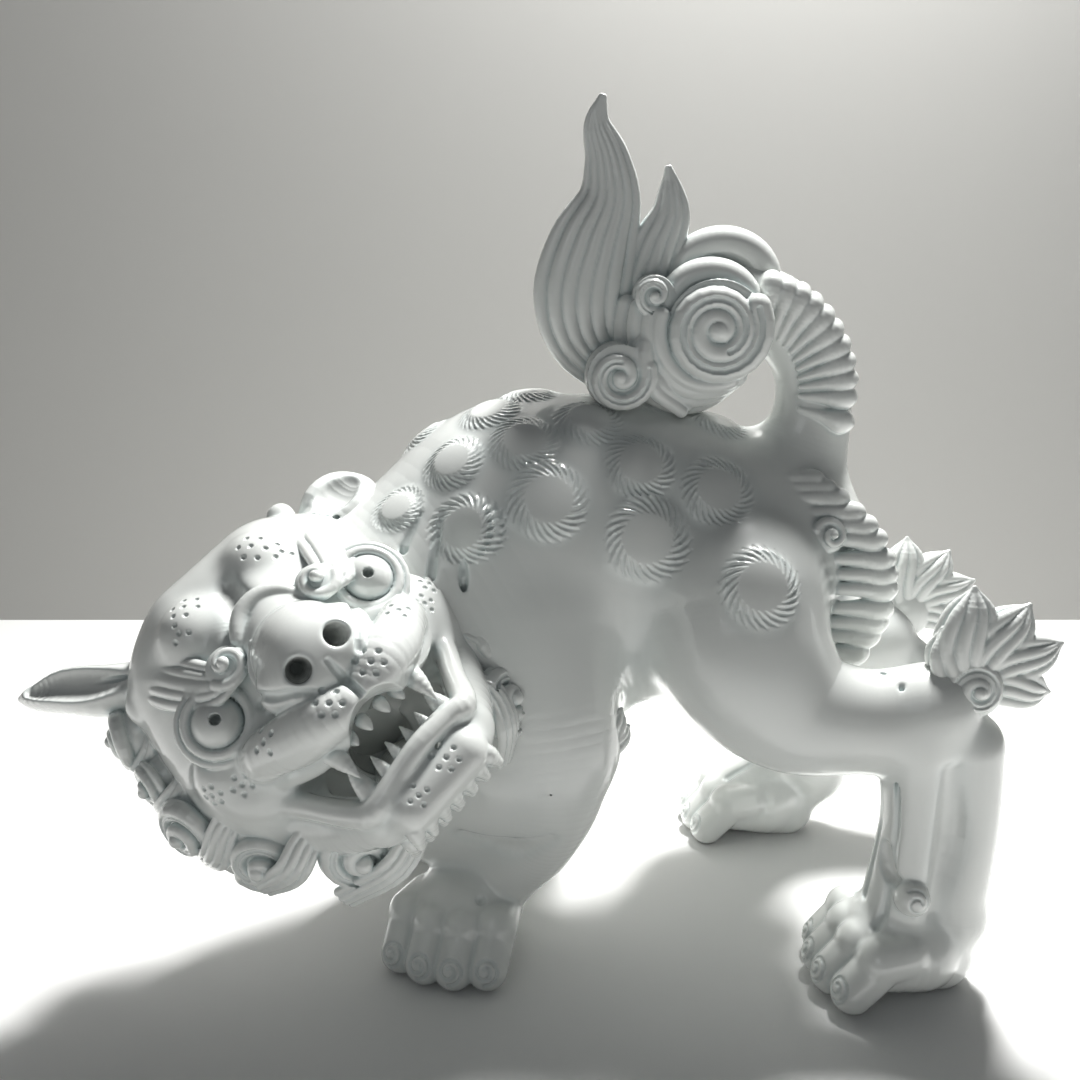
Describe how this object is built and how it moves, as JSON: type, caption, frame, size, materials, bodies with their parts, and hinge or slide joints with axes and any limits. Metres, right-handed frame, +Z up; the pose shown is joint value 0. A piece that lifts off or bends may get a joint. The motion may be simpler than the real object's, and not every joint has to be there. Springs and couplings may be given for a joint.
{
  "type": "guardian lion statue",
  "caption": "Glazed white porcelain guardian lion crouching on its forelegs, head turned and mouth open, tail raised over its back; a free-standing ornament.",
  "frame": {"origin": "centre of the bounding box in X and Y, at the height of the paw soles", "axes": "+X from the head towards the rump along the body, +Y away from the side that the face is turned to, +Z up"},
  "size_m": [0.416, 0.2409, 0.3462],
  "materials": {
    "glazed_porcelain": "gloss"
  },
  "bodies": {
    "root": {"torso": "glazed_porcelain", "neck": "glazed_porcelain", "near_front_leg": "glazed_porcelain", "far_front_leg": "glazed_porcelain", "near_hind_leg": "glazed_porcelain", "far_hind_leg": "glazed_porcelain", "near_front_paw": "glazed_porcelain", "far_front_paw": "glazed_porcelain", "near_hind_paw": "glazed_porcelain", "far_hind_paw": "glazed_porcelain", "near_hind_spur": "glazed_porcelain", "far_hind_spur": "glazed_porcelain", "near_elbow_tuft": "glazed_porcelain", "far_elbow_tuft": "glazed_porcelain", "near_hock_tuft": "glazed_porcelain", "far_hock_tuft": "glazed_porcelain", "near_hock_curl": "glazed_porcelain", "far_hock_curl": "glazed_porcelain", "near_rump_fringe": "glazed_porcelain", "far_rump_fringe": "glazed_porcelain", "tail_stem": "glazed_porcelain", "tail_fringe": "glazed_porcelain", "tail_large_scroll": "glazed_porcelain", "tail_low_scroll": "glazed_porcelain", "tail_small_scroll": "glazed_porcelain", "tail_rolls": "glazed_porcelain", "tail_tall_flame": "glazed_porcelain", "tail_short_flame": "glazed_porcelain", "skull": "glazed_porcelain", "nose": "glazed_porcelain", "left_lip_pad": "glazed_porcelain", "right_lip_pad": "glazed_porcelain", "lower_jaw": "glazed_porcelain", "tongue": "glazed_porcelain", "upper_teeth": "glazed_porcelain", "lower_teeth": "glazed_porcelain", "chin_beard": "glazed_porcelain", "left_eye": "glazed_porcelain", "right_eye": "glazed_porcelain", "left_brow": "glazed_porcelain", "right_brow": "glazed_porcelain", "left_ear": "glazed_porcelain", "right_ear": "glazed_porcelain", "curl_crown_left": "glazed_porcelain", "curl_temple_left": "glazed_porcelain", "curl_cheek_left": "glazed_porcelain", "curl_jaw_left": "glazed_porcelain", "curl_throat_left": "glazed_porcelain", "curl_crown_right": "glazed_porcelain", "curl_temple_right": "glazed_porcelain", "curl_cheek_right": "glazed_porcelain", "curl_jaw_right": "glazed_porcelain", "curl_throat_right": "glazed_porcelain", "curl_nape_upper": "glazed_porcelain", "curl_nape_left": "glazed_porcelain", "curl_nape_right": "glazed_porcelain", "curl_nape_lower": "glazed_porcelain"}
  },
  "joints": []
}
